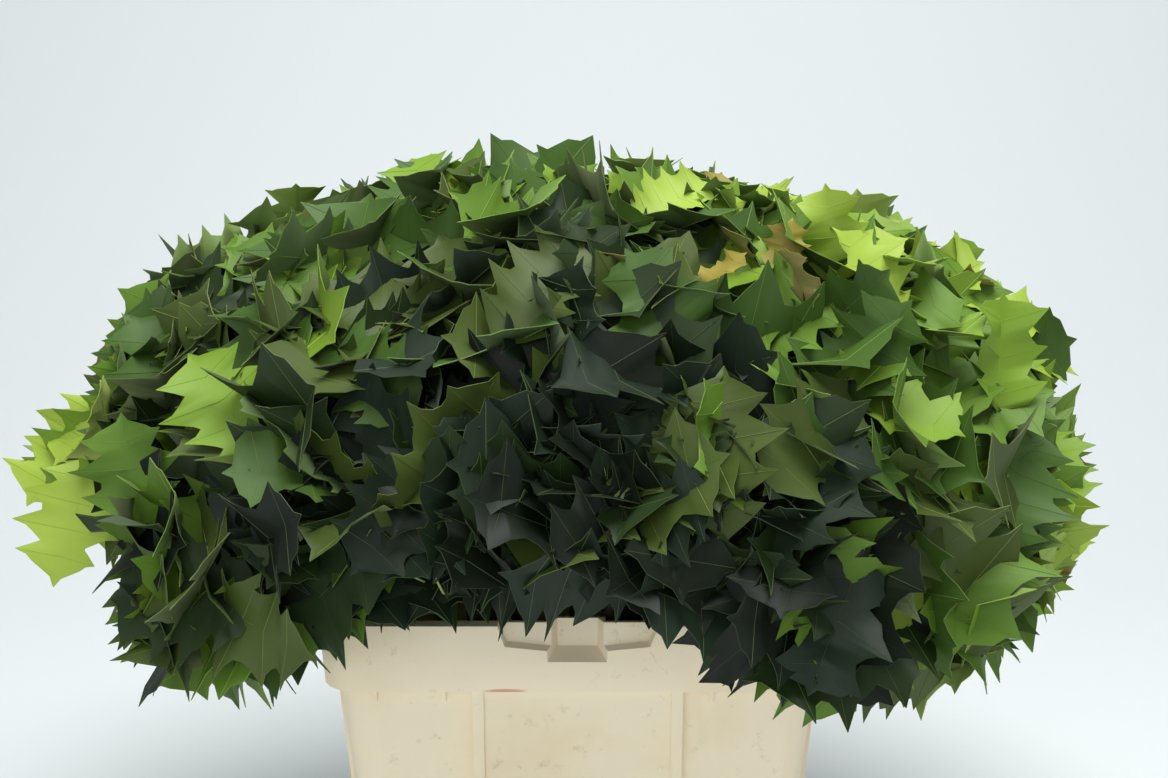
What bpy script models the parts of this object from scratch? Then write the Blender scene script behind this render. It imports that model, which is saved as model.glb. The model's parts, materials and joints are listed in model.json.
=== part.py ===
"""A cream plastic stacking container full of cut red oak branches.

Metres, +Z up. The origin is the centre of the container's flat underside, its long side runs along X,
and the front, with the camera before it, looks towards -Y. The branches stand on the container's
floor, fan out over its rim, and each carries one mass of twigs and leaves. Together the masses fill
the shell of a broad dome, and each keeps to its own cell of it.
"""

import math
import random

import bmesh
import bpy
from mathutils import Matrix, Vector
from mathutils.bvhtree import BVHTree

# Container
RIM_LENGTH = 0.400
RIM_WIDTH = 0.300
CONTAINER_HEIGHT = 0.330
BAND_HEIGHT = 0.055
BAND_OVERHANG = 0.0105
BAND_DRAFT = math.radians(4.0)
BODY_DRAFT = math.radians(5.3)
WALL = 0.003
FLOOR = 0.004
BAND_CORNER = 0.028
BODY_CORNER = 0.024
CORNER_STEPS = 5

# Ribs, the raised panel between them, and the gussets under the band
RIB_WIDTH = 0.009
RIB_PROJECTION = 0.0085
PANEL_PROJECTION = 0.0055
RIB_FOOT = 0.010
GUSSET_WIDTH = 0.004
GUSSET_DROP = 0.012
GROOVE_TOP = 0.006

# Grip in the middle of each side: a wide shallow pocket with a deeper channel in its centre
POCKET_DEPTH = 0.0085
POCKET_TOP = 0.063
POCKET_FOOT = 0.056
POCKET_END_DROP = 0.0185
POCKET_MIDDLE_DROP = 0.0245
POCKET_SLOPE = 0.0035
CHANNEL_DEPTH = 0.018
CHANNEL_WIDTH = 0.051
CHANNEL_BACK_WIDTH = 0.031
CHANNEL_DROP = 0.0325
CHANNEL_BACK_DROP = 0.0225
BOSS_HEIGHT = 0.046

# Crown: a dome that bulges over the rim and droops a little below it
CROWN_LENGTH = 0.930
CROWN_DEPTH = 0.770
CROWN_MIDDLE = 0.390
CROWN_RISE = 0.340
CROWN_DROP = 0.185

# Rings of branches, from the top down: number, angle above the horizon, turn of the ring, and how
# far out the branches stand on the floor and in the mouth, as shares of the mouth's half sizes
RINGS = (
    ("crest", 1, math.radians(90), 0.0, 0.0, 0.0),
    ("top", 5, math.radians(60), math.radians(18), 0.22, 0.27),
    ("shoulder", 9, math.radians(32), math.radians(12), 0.46, 0.54),
    ("skirt", 13, math.radians(2), math.radians(6), 0.70, 0.82),
)
MOUTH_HALF = (0.188, 0.138)
FLOOR_HALF = (0.150, 0.100)
BOUGH_END = 0.46
CELL_CENTRE = 0.74
BOUGH_SIDES = 6
BOUGH_FOOT_RADIUS = 0.0058
BOUGH_TIP_RADIUS = 0.0034
BOUGH_STEPS = (0.0, 0.30, 0.55, 0.74, 0.88, 1.0)

# Twigs and leaves of one mass
TWIG_SIDES = 3
STEM_REACH = 0.80
STEM_TIP_RADIUS = 0.0018
SIDE_TWIGS = 5
SIDE_TWIG_TRIES = 40
SIDE_TWIG_LENGTH = (0.070, 0.115)
SIDE_TWIG_RADIUS = 0.0021
SIDE_TWIG_TIP = 0.0013
SIDE_TWIG_SPREAD = (34, 58)
LEAVES_A_MASS = 24
LEAF_TRIES = 500
TARGET_SPREAD = 48
TARGET_REACH = (0.80, 0.99)
LEAF_TWIST = 40
LEAF_LENGTH = (0.095, 0.155)
LEAF_WIDTH = 0.60
LEAF_WIDEST = 0.58
LEAF_FOLD = 0.35
LEAF_DROOP = 0.06
LEAF_THICKNESS = 0.015
LEAF_ROOT = 0.0022
LEAF_SPACING = (0.060, 0.030)
LEAF_REACH = 1.0
LEAF_INNERMOST = 0.52

# Gaps
CLEAR = 0.0003
CELL_MARGIN = 0.0015
CELL_OVERLAP = 0.020
LEAF_CLEAR = 0.0006
LEAF_SWELL = 1.015
LIMB_MARGIN = 0.004
CONTAINER_MARGIN = 0.005

GOLDEN_ANGLE = math.radians(137.5)
SEED = 11


def clear_scene():
    for thing in list(bpy.data.objects):
        bpy.data.objects.remove(thing, do_unlink=True)


def plain_material(name, colour, roughness, metallic=0.0):
    material = bpy.data.materials.new(name)
    material.use_nodes = True
    shader = material.node_tree.nodes["Principled BSDF"]
    shader.inputs["Base Color"].default_value = (*colour, 1.0)
    shader.inputs["Roughness"].default_value = roughness
    shader.inputs["Metallic"].default_value = metallic
    return material


def new_object(name, mesh, material=None):
    thing = bpy.data.objects.new(name, mesh)
    bpy.context.scene.collection.objects.link(thing)
    if material:
        mesh.materials.clear()
        mesh.materials.append(material)
    return thing


def loft(name, sections):
    """A closed solid through sections of equally many points."""
    shape = bmesh.new()
    loops = [[shape.verts.new(point) for point in section] for section in sections]
    for low, high in zip(loops, loops[1:]):
        for i, corner in enumerate(low):
            j = (i + 1) % len(low)
            shape.faces.new((corner, low[j], high[j], high[i]))
    shape.faces.new(reversed(loops[0]))
    shape.faces.new(loops[-1])
    bmesh.ops.recalc_face_normals(shape, faces=shape.faces)
    mesh = bpy.data.meshes.new(name)
    shape.to_mesh(mesh)
    shape.free()
    return mesh


def combine(target, tools, operation):
    """Applies one Boolean of the tools on the target, and removes the tools."""
    group = bpy.data.collections.new("tools")
    bpy.context.scene.collection.children.link(group)
    for tool in tools:
        bpy.context.scene.collection.objects.unlink(tool)
        group.objects.link(tool)
    boolean = target.modifiers.new("combine", "BOOLEAN")
    boolean.operation = operation
    boolean.operand_type = "COLLECTION"
    boolean.collection = group
    boolean.solver = "EXACT"
    depsgraph = bpy.context.evaluated_depsgraph_get()
    result = bpy.data.meshes.new_from_object(target.evaluated_get(depsgraph))
    target.modifiers.clear()
    target.data = result
    for tool in tools:
        bpy.data.objects.remove(tool, do_unlink=True)
    bpy.data.collections.remove(group)


def rounded_rectangle(length, width, radius, z):
    points = []
    for quarter in range(4):
        turn = quarter * math.pi / 2
        centre_x = math.copysign(length / 2 - radius, math.cos(turn + math.pi / 4))
        centre_y = math.copysign(width / 2 - radius, math.sin(turn + math.pi / 4))
        for step in range(CORNER_STEPS + 1):
            angle = turn + step / CORNER_STEPS * math.pi / 2
            points.append((centre_x + radius * math.cos(angle), centre_y + radius * math.sin(angle), z))
    return points


def band_face(half, z):
    """Distance of the band's outer face from the middle, at height z."""
    return half - (CONTAINER_HEIGHT - z) * math.tan(BAND_DRAFT)


def body_face(half, z):
    """Distance of the body's outer face from the middle, at height z."""
    band_foot = CONTAINER_HEIGHT - BAND_HEIGHT
    return band_face(half, band_foot) - BAND_OVERHANG - (band_foot - z) * math.tan(BODY_DRAFT)


def tapered_solid(name, face, inset, corner, low, high):
    sections = [
        rounded_rectangle(
            2 * (face(RIM_LENGTH / 2, z) - inset), 2 * (face(RIM_WIDTH / 2, z) - inset), corner, z
        )
        for z in (low, high)
    ]
    return new_object(name, loft(name, sections))


def side_block(name, side, low, high):
    """A block on one side of the container.

    low and high are its foot and its top: height, span along the side, inner and outer distance.
    """
    sections = []
    for z, start, end, inner, outer in (low, high):
        corners = ((start, inner), (end, inner), (end, outer), (start, outer))
        sections.append([side @ Vector((along, -out, z)) for along, out in corners])
    return new_object(name, loft(name, sections))


def side_recess(name, side, half, front, back, depth):
    """A recess in one side: its outline at the band's face, and its smaller outline at its back."""
    overrun = 0.004
    sections = [
        [side @ Vector((along, -(half + overrun), CONTAINER_HEIGHT + z)) for along, z in front],
        [side @ Vector((along, -(half - depth), CONTAINER_HEIGHT + z)) for along, z in back],
    ]
    return new_object(name, loft(name, sections))


def side_additions(side, half, rib_offset, gussets):
    """Ribs, the raised panel between them, and the gussets under the band."""
    band_foot = CONTAINER_HEIGHT - BAND_HEIGHT
    buried = band_foot + 0.012
    pieces = []

    def proud(z, projection):
        return body_face(half, z) - WALL / 2, body_face(half, z) + projection

    for way in (-1, 1):
        start, end = sorted((way * rib_offset, way * (rib_offset + RIB_WIDTH)))
        pieces.append(
            side_block(
                "rib",
                side,
                (RIB_FOOT, start, end, *proud(RIB_FOOT, RIB_PROJECTION)),
                (buried, start, end, *proud(buried, RIB_PROJECTION)),
            )
        )
        for offset in gussets:
            start, end = sorted((way * offset, way * (offset + GUSSET_WIDTH)))
            tail = band_foot - GUSSET_DROP
            pieces.append(
                side_block(
                    "gusset",
                    side,
                    (tail, start, end, *proud(tail, 0.001)),
                    (buried, start, end, *proud(buried, BAND_OVERHANG - 0.001)),
                )
            )
    reach = rib_offset + RIB_WIDTH / 2
    pieces.append(
        side_block(
            "panel",
            side,
            (RIB_FOOT * 1.5, -reach, reach, *proud(RIB_FOOT * 1.5, PANEL_PROJECTION)),
            (buried, -reach, reach, *proud(buried, PANEL_PROJECTION)),
        )
    )
    return pieces


def side_boss(side, half):
    """The thickening inside the wall that the grip's channel is sunk into."""
    inner = half - CHANNEL_DEPTH - WALL
    buried = half - 2 * WALL
    reach = CHANNEL_BACK_WIDTH / 2 + 2 * WALL
    low = CONTAINER_HEIGHT - BOSS_HEIGHT
    return side_block(
        "boss",
        side,
        (low, -reach, reach, body_face(half, low) - WALL * 1.2, body_face(half, low) - WALL * 0.3),
        (CONTAINER_HEIGHT, -reach, reach, inner, buried),
    )


def side_cuts(side, half, rib_offset, gussets, groove_end):
    """The grip's pocket and channel, and the hollows behind the band between its gussets."""
    top = 0.006
    pocket_front = (
        (-POCKET_TOP, top),
        (-POCKET_FOOT, -POCKET_END_DROP),
        (0.0, -POCKET_MIDDLE_DROP),
        (POCKET_FOOT, -POCKET_END_DROP),
        (POCKET_TOP, top),
    )
    pocket_back = (
        (-POCKET_TOP, top),
        (-POCKET_FOOT + POCKET_SLOPE / 2, -POCKET_END_DROP + POCKET_SLOPE),
        (0.0, -POCKET_MIDDLE_DROP + POCKET_SLOPE),
        (POCKET_FOOT - POCKET_SLOPE / 2, -POCKET_END_DROP + POCKET_SLOPE),
        (POCKET_TOP, top),
    )
    wide = CHANNEL_WIDTH / 2
    narrow = CHANNEL_BACK_WIDTH / 2
    channel_front = ((-wide, top), (-wide, -CHANNEL_DROP), (wide, -CHANNEL_DROP), (wide, top))
    channel_back = (
        (-narrow, top),
        (-narrow, -CHANNEL_BACK_DROP),
        (narrow, -CHANNEL_BACK_DROP),
        (narrow, top),
    )
    cuts = [
        side_recess("pocket", side, half, pocket_front, pocket_back, POCKET_DEPTH),
        side_recess("channel", side, half, channel_front, channel_back, CHANNEL_DEPTH),
    ]
    low = CONTAINER_HEIGHT - BAND_HEIGHT - 0.002
    high = CONTAINER_HEIGHT - GROOVE_TOP
    starts = [rib_offset + RIB_WIDTH + 0.002] + [offset + GUSSET_WIDTH for offset in gussets]
    ends = list(gussets) + [groove_end]
    for way in (-1, 1):
        for start, end in zip(starts, ends):
            span = sorted((way * start, way * end))
            cuts.append(
                side_block(
                    "hollow",
                    side,
                    (low, *span, body_face(half, low), band_face(half, low) - WALL),
                    (high, *span, body_face(half, high), band_face(half, high) - WALL),
                )
            )
    return cuts


def make_container():
    """The stacking container: tapered body, overhanging band, ribs, grips and an open mouth."""
    plastic = plain_material("cream plastic", (0.66, 0.60, 0.43), 0.55)
    band_foot = CONTAINER_HEIGHT - BAND_HEIGHT
    container = tapered_solid("container", body_face, 0.0, BODY_CORNER, 0.0, CONTAINER_HEIGHT - WALL)
    band = tapered_solid("band", band_face, 0.0, BAND_CORNER, band_foot, CONTAINER_HEIGHT)
    cavity = tapered_solid(
        "cavity", body_face, WALL, BODY_CORNER - WALL, FLOOR, CONTAINER_HEIGHT + 0.01
    )
    sides = []
    for quarter in range(4):
        long_side = quarter % 2 == 0
        sides.append(
            (
                Matrix.Rotation(quarter * math.pi / 2, 4, "Z"),
                RIM_WIDTH / 2 if long_side else RIM_LENGTH / 2,
                0.072 if long_side else 0.066,
                (0.101, 0.154) if long_side else (0.096,),
                0.170 if long_side else 0.121,
            )
        )
    additions = [
        piece
        for side, half, rib_offset, gussets, _ in sides
        for piece in side_additions(side, half, rib_offset, gussets)
    ]
    combine(container, [band] + additions, "UNION")
    combine(container, [cavity], "DIFFERENCE")
    combine(container, [side_boss(side, half) for side, half, _, _, _ in sides], "UNION")
    combine(container, [cut for values in sides for cut in side_cuts(*values)], "DIFFERENCE")
    container.data.materials.clear()
    container.data.materials.append(plastic)
    return container


def crown_point(direction, share):
    """A point of the crown, at a share of the way from its middle to its surface."""
    rise = CROWN_RISE if direction.z > 0 else CROWN_DROP
    return Vector(
        (
            direction.x * CROWN_LENGTH / 2 * share,
            direction.y * CROWN_DEPTH / 2 * share,
            CROWN_MIDDLE + direction.z * rise * share,
        )
    )


def crown_share(point):
    """How far out a point lies: 0 in the crown's middle, 1 on its surface."""
    rise = CROWN_RISE if point.z > CROWN_MIDDLE else CROWN_DROP
    return math.sqrt(
        (2 * point.x / CROWN_LENGTH) ** 2
        + (2 * point.y / CROWN_DEPTH) ** 2
        + ((point.z - CROWN_MIDDLE) / rise) ** 2
    )


class Branch:
    """One cut branch: its foot on the floor, its course through the mouth, and its cell's centre."""

    def __init__(self, name, direction, floor_share, mouth_share):
        self.name = name
        self.direction = direction
        flat = Vector((direction.x, direction.y))
        if flat.length > 0.01:
            flat.normalize()
        self.foot = Vector(
            (
                flat.x * FLOOR_HALF[0] * floor_share,
                flat.y * FLOOR_HALF[1] * floor_share,
                FLOOR + CLEAR,
            )
        )
        self.mouth = Vector(
            (
                flat.x * MOUTH_HALF[0] * mouth_share,
                flat.y * MOUTH_HALF[1] * mouth_share,
                CONTAINER_HEIGHT,
            )
        )
        self.end = crown_point(direction, BOUGH_END)
        self.centre = crown_point(direction, CELL_CENTRE)
        self.heading = (self.centre - self.end).normalized()

    def at(self, share):
        """A point of the bough: up from the floor, through the mouth, then out to its end."""
        upright = Vector((0.0, 0.0, 0.16)) + (self.mouth - self.foot) * 0.25
        outward = self.heading * 0.10
        control = (self.foot, self.foot + upright, self.end - outward, self.end)
        rest = 1 - share
        weights = (rest**3, 3 * rest**2 * share, 3 * rest * share**2, share**3)
        return sum((p * w for p, w in zip(control, weights)), Vector())

    def radius(self, share):
        return BOUGH_FOOT_RADIUS + (BOUGH_TIP_RADIUS - BOUGH_FOOT_RADIUS) * share


def plan_branches():
    branches = []
    for ring, count, rise, turn, floor_share, mouth_share in RINGS:
        for i in range(count):
            angle = turn + i * 2 * math.pi / count
            direction = Vector(
                (math.cos(angle) * math.cos(rise), math.sin(angle) * math.cos(rise), math.sin(rise))
            )
            branches.append(Branch(f"{ring}_{i + 1:02d}", direction, floor_share, mouth_share))
    return branches


def across(direction):
    """Two unit vectors at right angles to a direction and to each other."""
    side = direction.orthogonal().normalized()
    return side, direction.cross(side)


def limb_mesh(name, points, radii, sides, heading=None):
    """A tapering round limb through points, with flat ends at right angles to its course."""
    sections = []
    side = None
    for i, point in enumerate(points):
        before = points[max(i - 1, 0)]
        after = points[min(i + 1, len(points) - 1)]
        course = (after - before).normalized()
        if i == len(points) - 1 and heading:
            course = heading
        if i == 0 and not heading:
            course = (points[1] - points[0]).normalized()
        if side is None:
            side = across(course)[0]
        side = (side - course * side.dot(course)).normalized()
        up = course.cross(side)
        turns = [k * 2 * math.pi / sides for k in range(sides)]
        sections.append([point + (side * math.cos(a) + up * math.sin(a)) * radii[i] for a in turns])
    return loft(name, sections)


def make_bough(branch, bark):
    """One tapering limb, cut flat at its foot so that it stands on the container's floor."""
    points = [branch.at(share) for share in BOUGH_STEPS]
    radii = [branch.radius(share) for share in BOUGH_STEPS]
    name = f"bough_{branch.name}"
    mesh = limb_mesh(name, points, radii, BOUGH_SIDES, branch.heading)
    lowest = FLOOR + CLEAR
    for corner in mesh.vertices:
        if corner.co.z < lowest + 0.006:
            corner.co.z = lowest
    mesh.shade_smooth()
    return new_object(name, mesh, bark)


def leaf_corners(root, course, face_up, length, twist):
    """Six corners of a leaf: a kite folded along its midrib, thick at its root and under its middle."""
    side = course.cross(face_up).normalized()
    up = side.cross(course).normalized()
    turn = Matrix.Rotation(twist, 3, course)
    side = turn @ side
    up = turn @ up
    half = length * LEAF_WIDTH / 2
    tip = root + course * length - up * length * LEAF_DROOP
    middle = root.lerp(tip, LEAF_WIDEST)
    lift = up * half * LEAF_FOLD
    return (
        root + up * LEAF_ROOT / 2,
        root - up * LEAF_ROOT / 2,
        middle - side * half + lift,
        middle + side * half + lift,
        tip,
        middle - up * length * LEAF_THICKNESS,
    )


def leaf_faces():
    top, under, left, right, tip, keel = range(6)
    return (
        (top, right, tip),
        (top, tip, left),
        (under, keel, right),
        (keel, tip, right),
        (under, left, keel),
        (keel, left, tip),
        (top, under, right),
        (top, left, under),
    )


def leaf_mesh(name, corners):
    mesh = bpy.data.meshes.new(name)
    mesh.from_pydata(corners, [], leaf_faces())
    shape = bmesh.new()
    shape.from_mesh(mesh)
    bmesh.ops.recalc_face_normals(shape, faces=shape.faces)
    shape.to_mesh(mesh)
    shape.free()
    return mesh


def in_cell(points, branch, branches, overlap):
    """Whether points lie nearer to a branch's cell centre than to any other's, or just past half way."""
    for other in branches:
        if other is branch:
            continue
        way = (other.centre - branch.centre).normalized()
        middle = (other.centre + branch.centre) / 2
        if any((point - middle).dot(way) > overlap for point in points):
            return False
    return True


def clear_of_container(points):
    """Whether points lie beside or above the container, with room to spare."""
    for point in points:
        if point.z > CONTAINER_HEIGHT + CONTAINER_MARGIN:
            continue
        beside_x = abs(point.x) > RIM_LENGTH / 2 + CONTAINER_MARGIN
        beside_y = abs(point.y) > RIM_WIDTH / 2 + CONTAINER_MARGIN
        if not beside_x and not beside_y:
            return False
    return True


def clear_of_boughs(points, courses):
    """Whether points keep their distance from every bough's course."""
    for point in points:
        for start, end in courses:
            along = end - start
            share = max(0.0, min(1.0, (point - start).dot(along) / along.length_squared))
            if (point - start - along * share).length < BOUGH_FOOT_RADIUS + LIMB_MARGIN:
                return False
    return True


def over_blade(corners):
    """The corners of a leaf, with points along its edges and over its blade between them."""
    top, _, left, right, tip, keel = corners
    spread = list(corners)
    for a, b in ((top, left), (top, right), (left, tip), (right, tip), (left, right), (top, tip)):
        spread += [a.lerp(b, share) for share in (0.25, 0.5, 0.75)]
    return spread + [(left + keel) / 2, (right + keel) / 2]


def swollen(corners):
    """The corners of a leaf that is a little larger and thicker, to keep it clear of its neighbours."""
    top, under, left, right, tip, keel = corners
    up = (top - under).normalized() * LEAF_CLEAR
    middle = sum(corners, Vector()) / len(corners)
    grown = [middle + (corner - middle) * LEAF_SWELL for corner in corners]
    return [p + up for p in grown[:1]] + [p - up for p in grown[1:2]] + grown[2:5] + [grown[5] - up]


def surface(solids):
    """A search tree over the faces of several solids, each given as its corners and faces."""
    corners = []
    faces = []
    for own_corners, own_faces in solids:
        faces += [[i + len(corners) for i in face] for face in own_faces]
        corners += own_corners
    return BVHTree.FromPolygons(corners, faces)


def twig_solid(twig, spare=0.0):
    """Corners and faces of the plain three-sided prism round a twig."""
    foot, end, thick, thin = twig
    side, up = across((end - foot).normalized())
    corners = []
    for point, radius in ((foot, thick + spare), (end, thin + spare)):
        turns = [k * 2 * math.pi / TWIG_SIDES for k in range(TWIG_SIDES)]
        corners += [point + (side * math.cos(a) + up * math.sin(a)) * radius for a in turns]
    return corners, [(0, 1, 4, 3), (1, 2, 5, 4), (2, 0, 3, 5), (2, 1, 0), (3, 4, 5)]


def grow_twigs(branch, branches, courses, rng):
    """The mass's stem and side twigs, as (start, end, start radius, end radius)."""
    start = branch.end + branch.heading * CLEAR
    stem_end = crown_point(branch.direction, STEM_REACH)
    twigs = [(start, stem_end, BOUGH_TIP_RADIUS, STEM_TIP_RADIUS)]
    side, up = across(branch.heading)
    angle = rng.uniform(0, 2 * math.pi)
    for _ in range(SIDE_TWIG_TRIES):
        if len(twigs) > SIDE_TWIGS:
            break
        share = 0.15 + 0.70 * (len(twigs) - 1) / SIDE_TWIGS
        angle += GOLDEN_ANGLE + rng.uniform(-0.4, 0.4)
        spread = math.radians(rng.uniform(*SIDE_TWIG_SPREAD))
        around = side * math.cos(angle) + up * math.sin(angle)
        course = branch.heading * math.cos(spread) + around * math.sin(spread)
        foot = start.lerp(stem_end, share)
        tip = foot + course * rng.uniform(*SIDE_TWIG_LENGTH)
        points = [foot.lerp(tip, s) for s in (0.4, 0.6, 0.8, 1.0)]
        if crown_share(tip) > 0.92 or not in_cell(points, branch, branches, -CELL_MARGIN):
            continue
        if clear_of_container(points) and clear_of_boughs(points[1:], courses):
            twigs.append((foot, tip, SIDE_TWIG_RADIUS, SIDE_TWIG_TIP))
    return twigs


def leaf_target(branch, rng):
    """A point near the crown's surface, somewhere round the branch's own direction."""
    side, up = across(branch.direction)
    spread = math.radians(rng.uniform(0, TARGET_SPREAD))
    angle = rng.uniform(0, 2 * math.pi)
    around = side * math.cos(angle) + up * math.sin(angle)
    direction = branch.direction * math.cos(spread) + around * math.sin(spread)
    return crown_point(direction, rng.uniform(*TARGET_REACH))


class Foliage:
    """The leaves of every mass: each reaches from its own twig to a free spot under the surface."""

    def __init__(self, branches, twigs, courses):
        self.branches = branches
        self.twigs = twigs
        self.courses = courses
        self.leaves = [[] for _ in branches]
        self.tips = []
        self.taken = None

    def prisms(self, mass, own):
        """The twigs that a leaf of one twig has to miss: those near it, in its own mass or another."""
        near = []
        for other, twigs in enumerate(self.twigs):
            for i, twig in enumerate(twigs):
                if other != mass or i != own:
                    near.append(twig_solid(twig, 0.0 if other == mass else LEAF_CLEAR))
        return surface(near)

    def try_leaf(self, mass, spacing, rng):
        branch = self.branches[mass]
        own = rng.randrange(len(self.twigs[mass]))
        target = leaf_target(branch, rng)
        root = self.twigs[mass][own][0].lerp(self.twigs[mass][own][1], rng.uniform(0.25, 0.97))
        twist = math.radians(rng.uniform(-LEAF_TWIST, LEAF_TWIST))
        length = (target - root).length
        if not LEAF_LENGTH[0] < length < LEAF_LENGTH[1]:
            return False
        if any((target - other).length < spacing for other in self.tips):
            return False
        course = (target - root) / length
        face_up = (root - Vector((0.0, 0.0, CROWN_MIDDLE - 0.05))).normalized() + Vector((0.0, 0.0, 0.4))
        if course.cross(face_up).length < 0.2:
            return False
        corners = leaf_corners(root, course, face_up, length, twist)
        if not in_cell(corners, branch, self.branches, CELL_OVERLAP):
            return False
        points = over_blade(corners)
        blade = [point for point in points if (point - root).length > 0.02]
        if max(map(crown_share, points)) > LEAF_REACH or min(map(crown_share, blade)) < LEAF_INNERMOST:
            return False
        if not clear_of_container(points):
            return False
        body = surface([(swollen(corners), leaf_faces())])
        if self.taken and body.overlap(self.taken):
            return False
        if body.overlap(self.guards[mass][own]) or not clear_of_boughs(points, self.courses):
            return False
        self.leaves[mass].append(corners)
        self.tips.append(target)
        solids = [(swollen(leaf), leaf_faces()) for leaves in self.leaves for leaf in leaves]
        self.taken = surface(solids)
        return True

    def grow(self, rng):
        """One leaf a round for each mass, more closely set as the crown fills."""
        self.guards = [
            [self.prisms(mass, own) for own in range(len(twigs))]
            for mass, twigs in enumerate(self.twigs)
        ]
        for turn in range(LEAVES_A_MASS):
            spacing = LEAF_SPACING[0] + (LEAF_SPACING[1] - LEAF_SPACING[0]) * turn / LEAVES_A_MASS
            for mass in range(len(self.branches)):
                for _ in range(LEAF_TRIES):
                    if self.try_leaf(mass, spacing, rng):
                        break


def keep_outer_shell(thing):
    """Keeps the largest connected shell, so that a scrap is dropped and a sealed hollow is filled."""
    shape = bmesh.new()
    shape.from_mesh(thing.data)
    waiting = set(shape.faces)
    shells = []
    while waiting:
        shell = set()
        front = [waiting.pop()]
        while front:
            face = front.pop()
            shell.add(face)
            for edge in face.edges:
                for near in edge.link_faces:
                    if near in waiting:
                        waiting.remove(near)
                        front.append(near)
        shells.append(shell)
    shells.sort(key=lambda shell: sum(face.calc_area() for face in shell))
    extra = [face for shell in shells[:-1] for face in shell]
    bmesh.ops.delete(shape, geom=extra, context="FACES")
    bmesh.ops.triangulate(shape, faces=shape.faces)
    shape.to_mesh(thing.data)
    shape.free()


def make_mass(branch, twigs, leaves, foliage):
    """One mass: a stem with side twigs, and leaves whose roots are sunk into them."""
    name = f"foliage_{branch.name}"
    parts = []
    for i, (foot, end, thick, thin) in enumerate(twigs):
        mesh = limb_mesh(f"{name}_twig_{i}", (foot, end), (thick, thin), TWIG_SIDES)
        parts.append(new_object(mesh.name, mesh))
    for i, corners in enumerate(leaves):
        mesh = leaf_mesh(f"{name}_leaf_{i}", corners)
        parts.append(new_object(mesh.name, mesh))
    mass = parts[0]
    combine(mass, parts[1:], "UNION")
    keep_outer_shell(mass)
    mass.name = name
    mass.data.materials.clear()
    mass.data.materials.append(foliage)
    return mass


def build():
    clear_scene()
    bark = plain_material("grey brown bark", (0.16, 0.13, 0.08), 0.85)
    foliage = plain_material("oak leaves", (0.045, 0.11, 0.025), 0.45)
    make_container()
    branches = plan_branches()
    courses = []
    for branch in branches:
        points = [branch.at(share) for share in BOUGH_STEPS]
        courses += list(zip(points, points[1:]))
        make_bough(branch, bark)
    rng = random.Random(SEED)
    crown = Foliage(
        branches, [grow_twigs(branch, branches, courses, rng) for branch in branches], courses
    )
    crown.grow(rng)
    for branch, twigs, leaves in zip(branches, crown.twigs, crown.leaves):
        make_mass(branch, twigs, leaves, foliage)


build()
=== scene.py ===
import json
import math
import random

import bmesh
import bpy
from mathutils import Matrix, Vector

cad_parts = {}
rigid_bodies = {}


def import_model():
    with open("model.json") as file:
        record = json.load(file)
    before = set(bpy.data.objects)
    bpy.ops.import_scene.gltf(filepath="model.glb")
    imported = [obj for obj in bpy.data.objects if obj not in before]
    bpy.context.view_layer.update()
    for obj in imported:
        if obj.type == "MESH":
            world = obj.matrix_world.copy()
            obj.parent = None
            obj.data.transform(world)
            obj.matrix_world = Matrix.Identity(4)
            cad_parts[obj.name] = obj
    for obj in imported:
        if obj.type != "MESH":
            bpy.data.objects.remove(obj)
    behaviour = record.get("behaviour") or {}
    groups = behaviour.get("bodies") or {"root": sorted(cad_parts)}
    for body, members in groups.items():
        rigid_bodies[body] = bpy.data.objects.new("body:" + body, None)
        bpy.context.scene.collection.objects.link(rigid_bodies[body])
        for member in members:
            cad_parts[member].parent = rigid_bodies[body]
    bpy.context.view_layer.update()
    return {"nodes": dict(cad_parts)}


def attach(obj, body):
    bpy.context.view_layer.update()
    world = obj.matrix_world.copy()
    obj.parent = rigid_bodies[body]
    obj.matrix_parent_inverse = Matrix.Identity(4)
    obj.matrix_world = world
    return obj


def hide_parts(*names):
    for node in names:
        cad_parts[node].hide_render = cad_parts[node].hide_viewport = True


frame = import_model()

# The container: a stacking box of cream moulded plastic, satin, made from the frame's solid with its
# edges softened. It has warm dirt in broad patches, grey scuffs and a short red streak on the lower
# edge of its band.
MERGE_DISTANCE = 0.00002
FLAT_ANGLE = math.radians(0.5)
EDGE_WIDTH = 0.0007
EDGE_STEPS = 2
EDGE_ANGLE = math.radians(35)
SHARP_ANGLE = math.radians(30)
BAND_HEIGHT = 0.055
PLASTIC_ROUGHNESS = 0.48
CREAM = (255, 239, 208)
WARM_DIRT = (246, 225, 186)
SCUFF_GREY = (176, 168, 146)
SCUFF_STRENGTH = 0.45
STREAK_RED = (206, 120, 96)
STREAK_STRENGTH = 0.7
STREAK_X = -0.055
STREAK_INSET = 0.004
STREAK_ABOVE_FOOT = 0.001
STREAK_STRETCH = (60, 150, 520)


def apply_modifiers(thing):
    """Gives the object its finished shape as a plain mesh, and removes the modifiers."""
    result = bpy.data.meshes.new_from_object(
        thing.evaluated_get(bpy.context.evaluated_depsgraph_get())
    )
    thing.modifiers.clear()
    thing.data = result


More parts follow.
